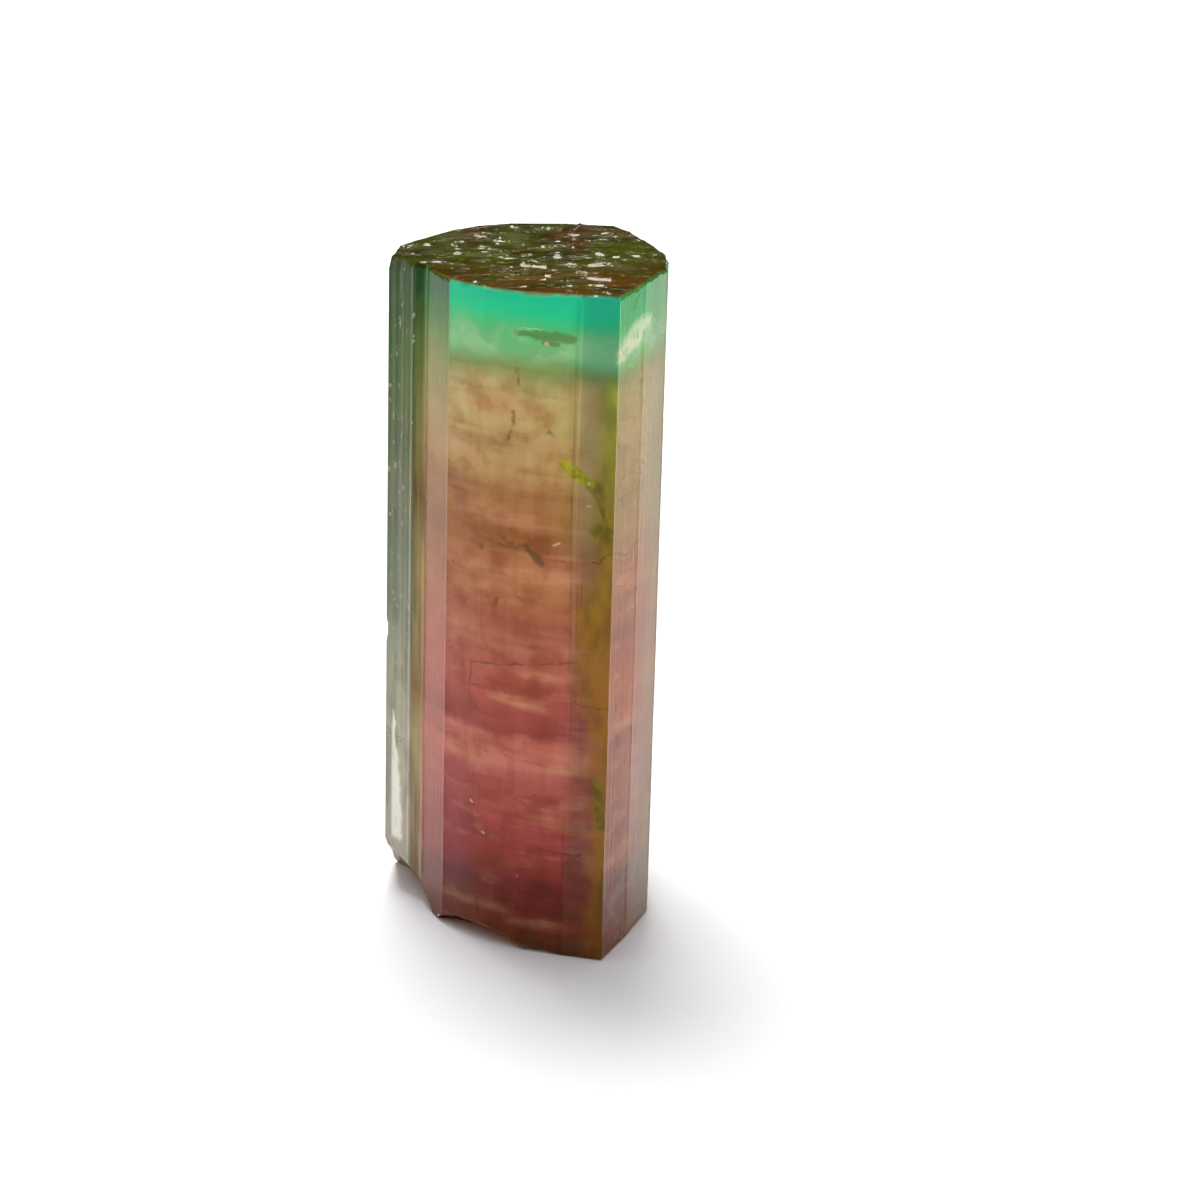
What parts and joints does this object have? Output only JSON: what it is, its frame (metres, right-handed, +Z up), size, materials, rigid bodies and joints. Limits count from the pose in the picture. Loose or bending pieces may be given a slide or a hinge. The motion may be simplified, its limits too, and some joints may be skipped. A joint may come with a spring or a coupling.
{
  "type": "watermelon tourmaline crystal",
  "caption": "Upright striated tourmaline prism, green at the top and rose below, with an etched sloping top face and a flat base to stand on.",
  "frame": {"origin": "middle of the crystal's bounding box on the plane that the flat base rests on", "axes": "+Z up the crystal's long axis from the flat base to the etched top face, -Y out of the broad front face, +X towards the narrow right face"},
  "size_m": [0.0122, 0.015, 0.0302],
  "materials": {
    "tourmaline": "polished"
  },
  "bodies": {
    "root": {"tourmaline_crystal": "tourmaline"}
  },
  "joints": []
}
